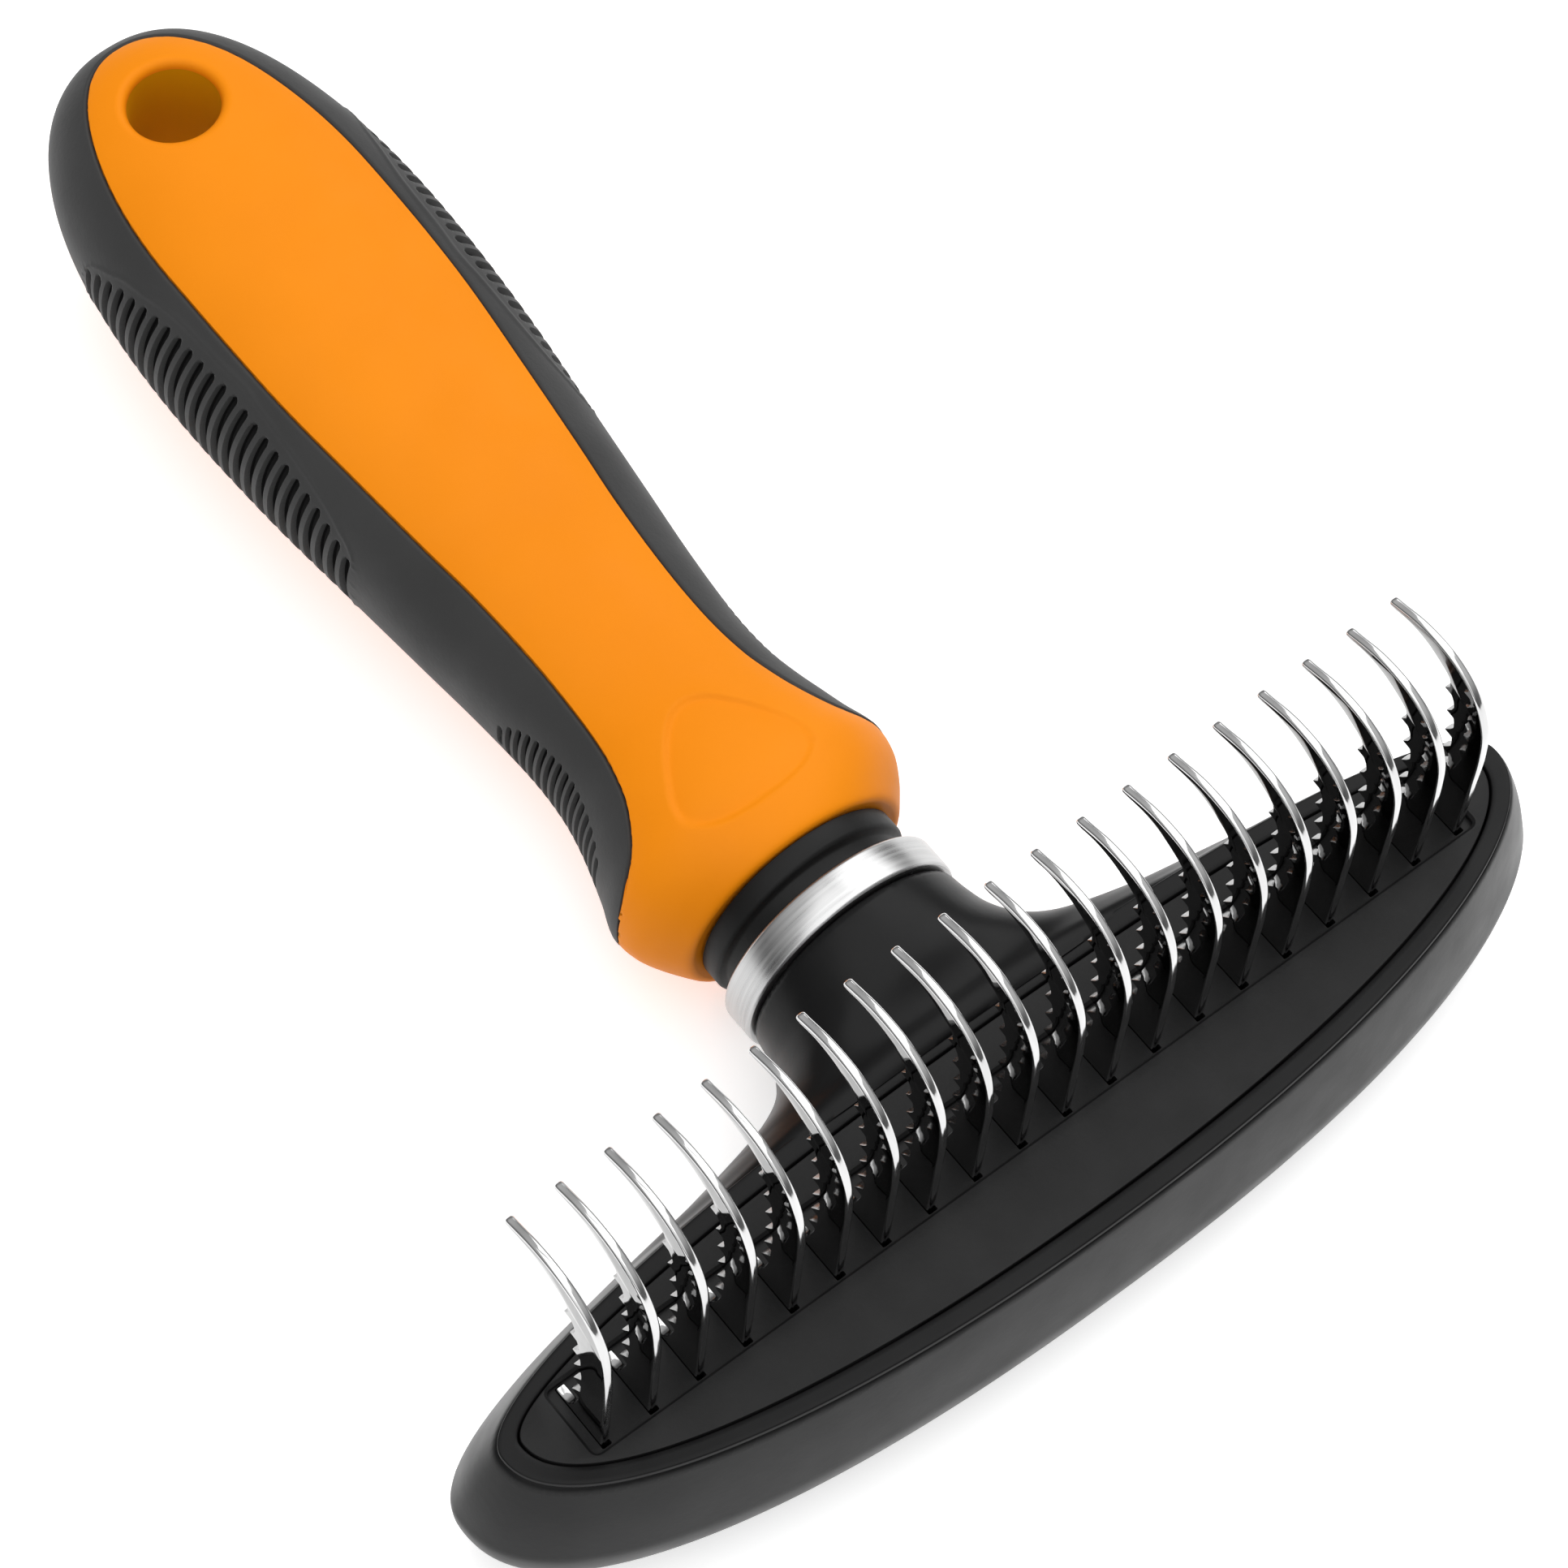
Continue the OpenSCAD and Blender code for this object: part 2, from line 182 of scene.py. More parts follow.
def ramp(nt, fac, dark, light):
    """Colour from dark to light as the noise rises."""
    r = nt.nodes.new("ShaderNodeValToRGB")
    stops = ((NOISE_LOW, dark), (NOISE_HIGH, light))
    for element, (position, colour) in zip(r.color_ramp.elements, stops):
        element.position = position
        element.color = (*colour, 1)
    nt.links.new(fac, r.inputs["Fac"])
    return r.outputs["Color"]


def spread(nt, fac, low, high):
    """Number from low to high as the noise rises."""
    mr = nt.nodes.new("ShaderNodeMapRange")
    mr.inputs["From Min"].default_value = NOISE_LOW
    mr.inputs["From Max"].default_value = NOISE_HIGH
    mr.inputs["To Min"].default_value = low
    mr.inputs["To Max"].default_value = high
    nt.links.new(fac, mr.inputs["Value"])
    return mr.outputs["Result"]


def bump(nt, bsdf, height, distance):
    b = nt.nodes.new("ShaderNodeBump")
    b.inputs["Strength"].default_value = 1.0
    b.inputs["Distance"].default_value = distance
    nt.links.new(height, b.inputs["Height"])
    nt.links.new(b.outputs["Normal"], bsdf.inputs["Normal"])


def moulded(name, dark, light, rough, grain, grain_depth, spec, sheen=0.0):
    """A moulded plastic or rubber: slow colour drift, fine spark-eroded grain, uneven gloss."""
    m, nt, bsdf, vec = new_material(name)
    slow = noise(nt, vec, DRIFT_SCALE, 3.0)
    nt.links.new(ramp(nt, slow, dark, light), bsdf.inputs["Base Color"])
    nt.links.new(spread(nt, noise(nt, vec, GLOSS_SCALE, 4.0), *rough), bsdf.inputs["Roughness"])
    bump(nt, bsdf, noise(nt, vec, grain, 2.0, 0.6), grain_depth)
    bsdf.inputs["Specular IOR Level"].default_value = spec
    if sheen:
        bsdf.inputs["Sheen Weight"].default_value = sheen
        bsdf.inputs["Sheen Roughness"].default_value = 0.5
    return m


def metal(name, dark, light, rough, stretch, scale, depth):
    """A metal with fine directional marks: colour, gloss and relief follow the same grain."""
    m, nt, bsdf, vec = new_material(name)
    grain = noise(nt, vec, scale, 4.0, 0.6, stretch)
    nt.links.new(ramp(nt, grain, dark, light), bsdf.inputs["Base Color"])
    nt.links.new(spread(nt, grain, *rough), bsdf.inputs["Roughness"])
    bsdf.inputs["Metallic"].default_value = 1.0
    if depth:
        bump(nt, bsdf, grain, depth)
    return m


ORANGE = moulded("orange_plastic", (0.80, 0.232, 0.0025), (0.84, 0.25, 0.004),
                 (0.45, 0.55), 1300.0, 2.2e-5, 0.10)
# painted shade: a darker, browner copy of the orange plastic for the inside of the hanging hole
ORANGE_BORE_PAINTED_SHADE = moulded("orange_plastic_bore_painted_shade", (0.58, 0.265, 0.0008), (0.62, 0.285, 0.0012),
                      (0.75, 0.85), 900.0, 2.0e-5, 0.03)
RUBBER = moulded("rubber_grip", (0.026, 0.026, 0.026), (0.033, 0.033, 0.033),
                 (0.60, 0.72), 1500.0, 3.0e-5, 0.3, 0.08)
# painted shade: a near-black copy of the rubber for the faces inside the grooves
RUBBER_PAINTED_SHADE = moulded("rubber_groove_painted_shade", (0.006, 0.006, 0.006), (0.009, 0.009, 0.009),
                      (0.65, 0.75), 1500.0, 2.0e-5, 0.1)
HEAD_BLACK = moulded("head_plastic", (0.006, 0.006, 0.0062), (0.0085, 0.0085, 0.0088),
                     (0.30, 0.38), 700.0, 1.2e-5, 0.13)
CARRIER_BLACK = moulded("carrier_plastic", (0.009, 0.009, 0.0092), (0.012, 0.012, 0.0123),
                        (0.46, 0.56), 1500.0, 2.5e-5, 0.22)
COLLAR_BLACK = moulded("collar_plastic", (0.005, 0.005, 0.005), (0.0075, 0.0075, 0.0075),
                       (0.42, 0.5), 900.0, 2.0e-5, 0.18)
# painted shade: the blade faces' steel is darker than the ground edges' steel, so their
# reflections of the bright floor come out grey
MIRROR_STEEL_PAINTED_SHADE = metal("polished_steel_painted_shade", (0.29, 0.29, 0.29), (0.34, 0.34, 0.34),
                     (0.02, 0.05), (1.0, 6.0, 1.0), 90.0, 0)
GROUND_STEEL = metal("ground_steel", (0.58, 0.58, 0.58), (0.68, 0.68, 0.68),
                     (0.09, 0.14), (4.0, 1.0, 1.0), 120.0, 0)
TOOTH_STEEL = metal("tooth_steel", (0.24, 0.24, 0.24), (0.32, 0.32, 0.32),
                    (0.22, 0.30), (1.0, 1.0, 1.0), 200.0, 0)
SPUN_ALUMINIUM = metal("turned_aluminium", (0.40, 0.40, 0.40), (0.56, 0.56, 0.56),
                       (0.24, 0.36), (0.12, 9.0, 0.12), 260.0, 6e-6)
SCREW_STEEL = metal("screw_steel", (0.42, 0.42, 0.43), (0.58, 0.58, 0.59),
                    (0.25, 0.4), (1.0, 1.0, 6.0), 400.0, 6e-6)
BRASS = metal("knurled_brass", (0.55, 0.38, 0.14), (0.72, 0.52, 0.22),
              (0.25, 0.4), (1.0, 6.0, 1.0), 400.0, 6e-6)

# ---------------------------------------------------------------- outlines
# x half width, near reach, far reach, centre u, near squareness, far squareness
FACE = np.array([67.65, 16, 8.4, 2.86, 2.12, 2.15])
RIM = np.array([70.45, 18.8, 11.2, 2.86, 2.12, 2.15])
WIDE = np.array([75, 22.2, 14.2, 4.46, 2.27, 2.27])
UNDER = np.array([66, 13.6, 5.2, 4.46, 2.27, 2.27])
WIDE_Z, RIM_Z = 11.8, 26.1


def oval(o, g, z, n=480):
    """A closed D-shaped outline at height z, g larger all round."""
    t = np.linspace(0, 2 * pi, n, endpoint=False)
    c, s = np.cos(t), np.sin(t)
    far = s > 0
    e = 2 / np.where(far, o[5], o[4])
    reach = np.where(far, o[2], o[1]) + g
    return np.c_[(o[0] + g) * np.sign(c) * np.abs(c) ** e,
                 o[3] + reach * np.sign(s) * np.abs(s) ** e, np.full(n, z)]


# ---------------------------------------------------------------- head shell
def wall_gauge(p):
    """1 on the outer wall of the head, less inside it."""
    x, u, z = p[..., 0], p[..., 1], p[..., 2]
    zc = np.clip(z, 0.02, 30)
    low = np.sqrt(np.clip(1 - (1 - np.minimum(zc, WIDE_Z) / WIDE_Z) ** 2, 0, 1))
    s = np.clip((zc - WIDE_Z) / (RIM_Z - WIDE_Z), 0, 1.1)
    high = s - 0.08 * np.sin(pi * s)
    o = [np.where(zc < WIDE_Z, UNDER[k] + (WIDE[k] - UNDER[k]) * low,
                  WIDE[k] + (RIM[k] - WIDE[k]) * high) for k in range(6)]
    v = u - o[3]
    far = v > 0
    n = np.where(far, o[5], o[4])
    reach = np.where(far, o[2], o[1])
    return ((np.abs(x) / o[0]) ** n + (np.abs(v) / reach) ** n) ** (1 / n)


NECK = [[8, 38, 23.5, 2.5, 2.6], [13.5, 36, 25.6, 1.5, 2.6], [16.5, 29, 26.2, 0.8, 2.5],
        [19, 22.6, 27.1, 0.5, 2.3], [21.5, 18.5, 28, 0.5, 2.15], [24.5, 16.0, 28.6, 0.5, 2.05],
        [27.5, 14.9, 29, 0.5, 2], [30.7, 14.3, 29.1, 0.5, 2]]


def neck_gauge(p):
    """1 on the outer wall of the neck, less inside it."""
    x, u, z = p[..., 0], p[..., 1], p[..., 2]
    w, top, bot, e = (curve(NECK, u, c) for c in (1, 2, 3, 4))
    v = np.abs(z - (top + bot) / 2) / ((top - bot) / 2)
    return ((np.abs(x) / w) ** e + v ** e) ** (1 / e)


def distance(gauge, p):
    """Roughly the signed distance to the surface where gauge is 1."""
    h = 0.02
    g = gauge(p)
    slope = np.zeros_like(g)
    for k in range(3):
        q = p.copy()
        q[..., k] += h
        slope += ((gauge(q) - g) / h) ** 2
    return (g - 1) / np.sqrt(np.maximum(slope, 1e-5))


def smin(a, b, k):
    """Lower of two distances, blended over k where they are close."""
    h = np.maximum(k - np.abs(a - b), 0) / k
    return np.minimum(a, b) - h * h * k / 4


def smax(a, b, k):
    return -smin(-a, -b, k)


SHELL_TOP = 26.0                          # upper edge of the shell, under the rim
SHELL_WALL = 2.4                          # thickness of its walls
CAVITY_FAR_U = 12.0                       # the hollow ends here, before the neck
POCKET_FLOOR, POCKET_GAP = 20.0, 1.2      # pocket of the blade carrier
NECK_FROM_U, NECK_TO_U = 9.5, 30.62
BOSS_X, BOSS_U, BOSS_R = 38.1, -6.0, 4.0  # screw bosses
SINK_R, SINK_TOP, SHANK_R = 3.2, 3.0, 1.7
SPIGOT_BORE_R, SPIGOT_BORE_U = 6.0, 26.5
SCREW_BORE_R, SCREW_BORE_U = 3.1, 8.0


def oval_distance(p, o, g):
    """Roughly the signed distance to the outline o, g larger all round."""
    x, v = p[..., 0], p[..., 1] - o[3]
    far = v > 0
    n = np.where(far, o[5], o[4])
    reach = np.where(far, o[2], o[1]) + g
    r = ((np.abs(x) / (o[0] + g)) ** n + (np.abs(v) / reach) ** n) ** (1 / n)
    size = np.hypot(x, v) / np.maximum(r, 1e-6)
    return (r - 1) * np.minimum(size, reach)


def head_field(p):
    """Signed distance to the head: less than 0 in its material."""
    x, u, z = p[..., 0], p[..., 1], p[..., 2]
    body = smax(distance(wall_gauge, p), z - SHELL_TOP, 1.0)
    neck = smax(smax(distance(neck_gauge, p), u - NECK_TO_U, 0.8), NECK_FROM_U - u, 2.0)
    outer = smax(smin(body, neck, 5.0), -z, 0.5)
    cavity = np.maximum(outer + SHELL_WALL, u - CAVITY_FAR_U)
    boss = np.hypot(np.abs(x) - BOSS_X, u - BOSS_U)
    cavity = np.maximum(cavity, BOSS_R - boss)
    pocket = np.maximum(oval_distance(p, FACE, POCKET_GAP), POCKET_FLOOR - z)
    f = np.maximum(outer, -cavity)
    f = np.maximum(f, -pocket)
    f = np.maximum(f, -np.maximum(boss - SINK_R, z - SINK_TOP))
    f = np.maximum(f, SHANK_R - boss)
    bore = np.hypot(x, z - NECK_Z)
    f = np.maximum(f, -np.maximum(bore - SPIGOT_BORE_R, SPIGOT_BORE_U - u))
    return np.maximum(f, -np.maximum(bore - SCREW_BORE_R, SCREW_BORE_U - u))


def surface_net(field, lo, hi, h):
    """Closed quad mesh of the surface field = 0, its points moved onto the surface."""
    axes = [np.arange(a, b + h, h) for a, b in zip(lo, hi)]
    n = [len(a) for a in axes]
    f = np.empty(n)
    for i, x in enumerate(axes[0]):
        p = np.stack(np.meshgrid([x], axes[1], axes[2], indexing="ij"), -1)
        f[i] = field(p)[0]
    inside = f < 0
    total = np.zeros([k - 1 for k in n] + [3])
    count = np.zeros([k - 1 for k in n])
    quads = []
    for ax in range(3):
        a = [slice(None)] * 3
        b = [slice(None)] * 3
        a[ax], b[ax] = slice(0, -1), slice(1, None)
        cross = inside[tuple(a)] != inside[tuple(b)]
        idx = np.argwhere(cross)
        fa, fb = f[tuple(a)][cross], f[tuple(b)][cross]
        t = fa / (fa - fb)
        pos = np.stack([axes[k][idx[:, k]] for k in range(3)], 1)
        pos[:, ax] += t * h
        o1, o2 = [k for k in range(3) if k != ax]
        cells = []
        for d1, d2 in ((0, 0), (-1, 0), (-1, -1), (0, -1)):
            c = idx.copy()
            c[:, o1] += d1
            c[:, o2] += d2
            cells.append(c)
        ok = np.all([(c >= 0).all(1) & (c < np.array(n) - 1).all(1) for c in cells], axis=0)
        for c in cells:
            c = c[ok]
            np.add.at(total, tuple(c.T), pos[ok])
            np.add.at(count, tuple(c.T), 1)
        quads.append(np.stack([np.ravel_multi_index(tuple(c[ok].T), count.shape)
                               for c in cells], 1))
    quads = np.vstack(quads)
    used, inv = np.unique(quads.ravel(), return_inverse=True)
    v = total.reshape(-1, 3)[used] / count.ravel()[used][:, None]
    quads = inv.reshape(-1, 4)
    probe = 0.01
    for _ in range(4):
        g = np.empty_like(v)
        f0 = field(v)
        for k in range(3):
            q = v.copy()
            q[:, k] += probe
            g[:, k] = (field(q) - f0) / probe
        step = f0[:, None] * g / np.maximum((g ** 2).sum(1), 0.05)[:, None]
        size = np.linalg.norm(step, axis=1)
        v -= step * np.minimum(1, 0.35 * h / np.maximum(size, 1e-9))[:, None]
    return v, [tuple(q) for q in quads.tolist()]


HEAD_CELL = 0.62
HEAD_LOW, HEAD_HIGH = (-77.3, -19.7, -1.3), (77.3, 32.5, 31.3)
v, f = surface_net(head_field, HEAD_LOW, HEAD_HIGH, HEAD_CELL)
make_piece("head_body", v, f, [HEAD_BLACK], ["head_shell"], sharp=50)


def ring_band(profile, n=480):
    """A closed band: each (outline, growth, z) of the profile is one ring."""
    rows = [oval(o, g, z, n) for o, g, z in profile]
    rows.append(rows[0])
    return np.vstack(rows), grid_quads(len(rows), n, wrap_m=True)


v, f = ring_band([(FACE, 0.16, 21.6), (FACE, 0.16, 26.30), (FACE, 0.21, 26.43),
                  (FACE, 0.34, FACE_Z), (FACE, 0.9, FACE_Z), (FACE, 1.9, FACE_Z),
                  (RIM, -0.40, FACE_Z),
                  (RIM, -0.27, 26.45), (RIM, -0.20, 26.33), (RIM, -0.18, 25.2), (RIM, -1.0, 21.6)])
make_piece("head_rim", v, f, [HEAD_BLACK], sharp=60)

# ---------------------------------------------------------------- blade carrier
BLADE_T = 1.1
N_BLADES = 20
blade_x = []
for i in range(1, N_BLADES + 1):
    low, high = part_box("blade_%02d" % i)
    blade_x.append(float(low.x + high.x) * 500)


def solid_from_loops(loops):
    """Closed solid through loops of equal count, its ends filled."""
    n = len(loops[0])
    faces = grid_quads(len(loops), n, wrap_m=True)
    last = (len(loops) - 1) * n
    return np.vstack(loops), faces + [tuple(range(n))[::-1], tuple(range(last, last + n))]


def temp_object(verts, faces):
    mesh = bpy.data.meshes.new("cutter")
    mesh.from_pydata(np.asarray(verts).tolist(), [], faces)
    bm = bmesh.new()
    bm.from_mesh(mesh)
    bmesh.ops.recalc_face_normals(bm, faces=bm.faces)
    bm.to_mesh(mesh)
    bm.free()
    obj = bpy.data.objects.new("cutter", mesh)
    bpy.context.scene.collection.objects.link(obj)
    return obj


def rounded_rect(x0, x1, u0, u1, r, z, k=6):
    pts = []
    for cx, cu, a0 in ((x1 - r, u1 - r, 0), (x0 + r, u1 - r, 90),
                       (x0 + r, u0 + r, 180), (x1 - r, u0 + r, 270)):
        for i in range(k + 1):
            a = radians(a0 + 90 * i / k)
            pts.append((cx + r * cos(a), cu + r * sin(a), z))
    return np.array(pts)


def cut(obj_verts, obj_faces, cutters):
    """Boolean difference in millimetres; returns the new points and faces."""
    base = temp_object(obj_verts, obj_faces)
    for cv, cf in cutters:
        tool = temp_object(cv, cf)
        mod = base.modifiers.new("cut", "BOOLEAN")
        mod.operation, mod.solver, mod.object = "DIFFERENCE", "EXACT", tool
        bpy.context.view_layer.update()
        graph = bpy.context.evaluated_depsgraph_get()
        done = bpy.data.meshes.new_from_object(base.evaluated_get(graph))
        base.modifiers.clear()
        old, base.data = base.data, done
        bpy.data.meshes.remove(old)
        bpy.data.objects.remove(tool)
    verts = np.array([v.co[:] for v in base.data.vertices])
    faces = [tuple(p.vertices) for p in base.data.polygons]
    bpy.data.objects.remove(base)
    return verts, faces


TROUGH = (-62.2, 62.2, -2.86, 6.2)
SLOT_HALF, SLOT_U0, SLOT_U1 = 0.62, -2.5, 6.08


def trough_ring(grow, r, z):
    x0, x1, u0, u1 = TROUGH
    return rounded_rect(x0 - grow, x1 + grow, u0 - grow, u1 + grow, r, z)


plate_v, plate_f = solid_from_loops([oval(FACE, g, z, 360) for g, z in (
    (-0.12, 20.5), (-0.12, 26.36), (-0.18, 26.46), (-0.30, FACE_Z))])
trough = solid_from_loops([trough_ring(0, 0.8, 25.5), trough_ring(0, 0.8, 26.18),
                           trough_ring(0.32, 1.1, FACE_Z), trough_ring(0.52, 1.3, FACE_Z + 0.2)])
slots_v, slots_f = [], []
for bx in blade_x:
    v, f = solid_from_loops([rounded_rect(bx - SLOT_HALF, bx + SLOT_HALF, SLOT_U0, SLOT_U1,
                                          0.15, z, 2) for z in (19.5, 25.9)])
    slots_f += [tuple(i + len(slots_v) * len(v) for i in q) for q in f]
    slots_v.append(v)
v, f = cut(plate_v, plate_f, [trough, (np.vstack(slots_v), slots_f)])
make_piece("carrier_plate", v, f, [CARRIER_BLACK], ["blade_carrier"], sharp=30)

# ---------------------------------------------------------------- blades
BACK_EDGE = [[0, -2.2, -1], [1, -2.45, 5], [2, -2.6, 11], [3, -2.7, 17], [4, -2.1, 22.6],
             [5, 0.3, 27], [6, 4.4, 29.5], [7, 9.3, 29.9], [8, 14.1, 28.7]]
FRONT_EDGE = [[0, 3.9, 25.6], [1, 5.4, 26.7], [2, 8.3, 28.0], [3, 11.2, 28.3], [4, 14.0, 27.7]]
VALLEYS = [[0, 3.2], [3.5, 2.2], [7, 1.75], [11, 1.55], [14.9, 1.7], [18.1, 1.95],
           [21.8, 2.6], [25.5, 3.9]]
N_BACK, N_TIP, N_FRONT = 49, 7, 24                 # points of the outline, in its order
N_BARBS, TOP_BARB, BARB_PITCH = 6, 23.75, 3.7


def blade_outline():
    """(u, height above the face) round one blade and its tang."""
    pts = []
    for t in np.linspace(0, 8, N_BACK):
        pts.append((curve(BACK_EDGE, t, 1), curve(BACK_EDGE, t, 2)))
    for a in np.linspace(60, -60, N_TIP):
        pts.append((14.15 + 0.5 * cos(radians(a)), 28.2 + 0.5 * sin(radians(a))))
    for t in np.linspace(4, 0.12, N_FRONT + 1)[1:]:
        pts.append((curve(FRONT_EDGE, t, 1), curve(FRONT_EDGE, t, 2)))
    for k in range(N_BARBS):
        z = TOP_BARB - BARB_PITCH * k
        v = float(curve(VALLEYS, z))
        if k:
            pts.append((float(curve(VALLEYS, z + 1.95)), z + 1.95))
        pts.append((float(curve(VALLEYS, z + 1.7)) + 0.04, z + 1.7))
        pts += [(v + 0.62, z + 0.88), (v + 1.16, z + 0.08), (v + 1.20, z - 0.01),
                (v + 1.14, z - 0.08), (v + 0.22, z - 0.22), (v + 0.05, z - 0.34)]
        pts.append((float(curve(VALLEYS, z - 1.0)), z - 1.0))
    pts += [(2.62, 2.2), (2.95, 1.1), (3.25, 0.4), (3.7, -0.1), (4.3, -0.38), (5.0, -0.48),
            (5.8, -0.5), (5.9, -0.6), (5.9, -3.5), (3.1, -3.5), (3.1, -9.8), (-1.9, -9.8),
            (-1.9, -3.5), (-2.2, -3.5)]
    return np.array([(float(a), float(b)) for a, b in pts])


def inset(poly, d):
    """Moves a closed outline inward by about d, which may differ from point to point."""
    d = np.broadcast_to(d, len(poly))
    prev, nxt = np.roll(poly, 1, 0), np.roll(poly, -1, 0)
    e1, e2 = poly - prev, nxt - poly
    e1 /= np.linalg.norm(e1, axis=1)[:, None]
    e2 /= np.linalg.norm(e2, axis=1)[:, None]
    area = 0.5 * np.sum(poly[:, 0] * nxt[:, 1] - nxt[:, 0] * poly[:, 1])
    side = 1 if area > 0 else -1
    n1 = np.c_[-e1[:, 1], e1[:, 0]] * side
    n2 = np.c_[-e2[:, 1], e2[:, 0]] * side
    m = n1 + n2
    m /= np.maximum(np.linalg.norm(m, axis=1), 1e-6)[:, None]
    scale = 1 / np.maximum((m * n1).sum(1), 0.45)
    return poly + m * (d * scale)[:, None]


outline = blade_outline()
order = np.arange(len(outline))
front_end = N_BACK + N_TIP + N_FRONT
teeth = (outline[:, 1] > 4) & (order >= front_end)
sharp_point = np.zeros(len(outline), bool)
for k in range(N_BARBS):
    sharp_point |= teeth & (np.abs(outline[:, 1] - (TOP_BARB - BARB_PITCH * k)) < 0.3)

ROUNDING = 0.42                                    # radius of a fully softened edge
softness = np.full(len(outline), 0.22)             # teeth and root keep crisp edges
softness[:N_BACK] = 0.80
softness[N_BACK:N_BACK + N_TIP] = 0.68
softness[N_BACK + N_TIP:front_end - 1] = 0.70
softness[sharp_point] = 0.10
softness[-7:] = 0.14                               # tang
ROUND_STEPS = (90, 62, 36, 12, 0)                  # degrees from the flat side
loops = []
for side in (-1, 1):
    for a in ROUND_STEPS[::-side]:
        x = side * (BLADE_T / 2 - ROUNDING * (1 - cos(radians(90 - a))))
        p = inset(outline, ROUNDING * (1 - cos(radians(a))) * softness)
        loops.append(np.c_[np.full(len(p), x), p[:, 0], FACE_Z + p[:, 1]])
v, f = solid_from_loops(loops)
# the flat sides take the polished steel with painted shade, the edges the ground steel, the teeth
# the tooth steel
edge_mats = np.where(teeth, 2, 1)
blade_mats = list(np.tile(edge_mats, len(loops) - 1)) + [0, 0]
for i, bx in enumerate(blade_x, 1):
    make_piece("steel_blade_%02d" % i, v + np.array([bx, 0, 0]), f,
               [MIRROR_STEEL_PAINTED_SHADE, GROUND_STEEL, TOOTH_STEEL], ["blade_%02d" % i],
               sharp=32, face_mats=blade_mats, flat_first=True)

# ---------------------------------------------------------------- neck ring and collar
RING_R = 14.8
v, f = revolve([(12.0, 30.75)] + [(RING_R - less, u) for less, u in (
    (0.55, 30.75), (0.22, 30.86), (0.06, 31.04), (0, 31.25), (0, 33.0), (0, 35.05), (0.03, 35.16),
    (0.10, 35.30), (0.22, 35.42), (0.36, 35.48), (0.5, 35.5))] + [(12.0, 35.5)])
make_piece("neck_ring", v, f, [SPUN_ALUMINIUM], ["ferrule_ring"], sharp=28)
v, f = revolve([(11.6, 35.4), (12.4, 35.5), (12.4, 37.7), (12.55, 37.95), (13.1, 38.15),
                (13.35, 38.35), (13.5, 38.7), (13.5, 40.9), (11.6, 40.9)])
make_piece("neck_band", v, f, [COLLAR_BLACK], ["neck_collar"], sharp=40)

# ---------------------------------------------------------------- handle surface
# along the handle: u, half width, half thickness, height of the middle
HANDLE = [[40.8, 14.8, 14.3, 14.8], [42.4, 16.2, 14.8, 14.9], [44.5, 17.8, 15.05, 15.1],
          [47, 19.1, 15.2, 15.25], [50, 19.4, 15.3, 15.35], [54, 17.9, 14.8, 15.6],
          [60, 16.1, 13.4, 16.2], [65, 15.2, 12.3, 16.6], [71, 15.0, 11.6, 17.0],
          [80, 15.6, 11.6, 17.5], [90, 16.7, 11.9, 18.1], [102, 18.0, 12.5, 18.8],
          [114, 19.3, 13.0, 19.5], [124, 20.0, 13.4, 20.1], [132, 20.3, 13.5, 20.5],
          [145, 20.4, 13.1, 21.2], [160, 20.4, 12.4, 21.7], [180, 20.4, 12.0, 22.0]]
# the orange window between the sleeve's two edges: u, half width
WINDOW = [[48.5, 20.4], [50, 17.9], [52, 15.5], [54, 14.0], [57, 12.4], [60, 11.4], [64, 10.5],
          [70, 9.95], [78, 9.9], [88, 10.5], [96, 11.4], [108, 12.6], [120, 13.7], [130, 14.1],
          [141, 14.2], [180, 14.2]]
WIN_END = 172.3
CORE_U0 = 40.8                             # end face at the collar
WIDTH_CAP_U, THICK_CAP_U, WINDOW_CAP_U = 132, 156, 141  # rounded ends begin here
HOLE_U, HOLE_R, HOLE_FILLET = 160.46, 5.62, 1.4


def half_w(u):
    return curve(HANDLE, u, 1) * cap((u - WIDTH_CAP_U) / (END_U - WIDTH_CAP_U), 2.4)


def half_t(u):
    return curve(HANDLE, u, 2) * cap((u - THICK_CAP_U) / (END_U - THICK_CAP_U), 2.8)


def mid_z(u):
    return curve(HANDLE, u, 3)


def square(u):
    """Power of the cross-section's superellipse: 2 at the collar, 2.3 along the grip."""
    return 2 + 0.3 * np.clip((u - 43) / 14, 0, 1)


def win_w(u):
    return curve(WINDOW, u, 1) * cap((u - WINDOW_CAP_U) / (WIN_END - WINDOW_CAP_U), 2.06)


def skin_z(x, u, side):
    """Height of the handle's outer surface above (side 1) or below (side -1) its middle."""
    e = square(u)
    r = np.clip(np.abs(x) / np.maximum(half_w(u), 1e-6), 0, 1)
    return mid_z(u) + side * half_t(u) * np.maximum(1 - r ** e, 0) ** (1 / e)


us = np.linspace(48.6, 52, 4000)
# the sleeve's two tips: here the window gets narrower than the handle
TIP_U = float(us[np.argmax(win_w(us) < half_w(us))])


def grid_normals(p, wrap=False):
    """Unit normals of a grid of points (rows, columns, 3)."""
    if wrap:
        dj = np.roll(p, -1, 1) - np.roll(p, 1, 1)
    else:
        dj = np.gradient(p, axis=1)
    di = np.gradient(p, axis=0)
    n = np.cross(di, dj)
    return n / np.maximum(np.linalg.norm(n, axis=2), 1e-9)[..., None]


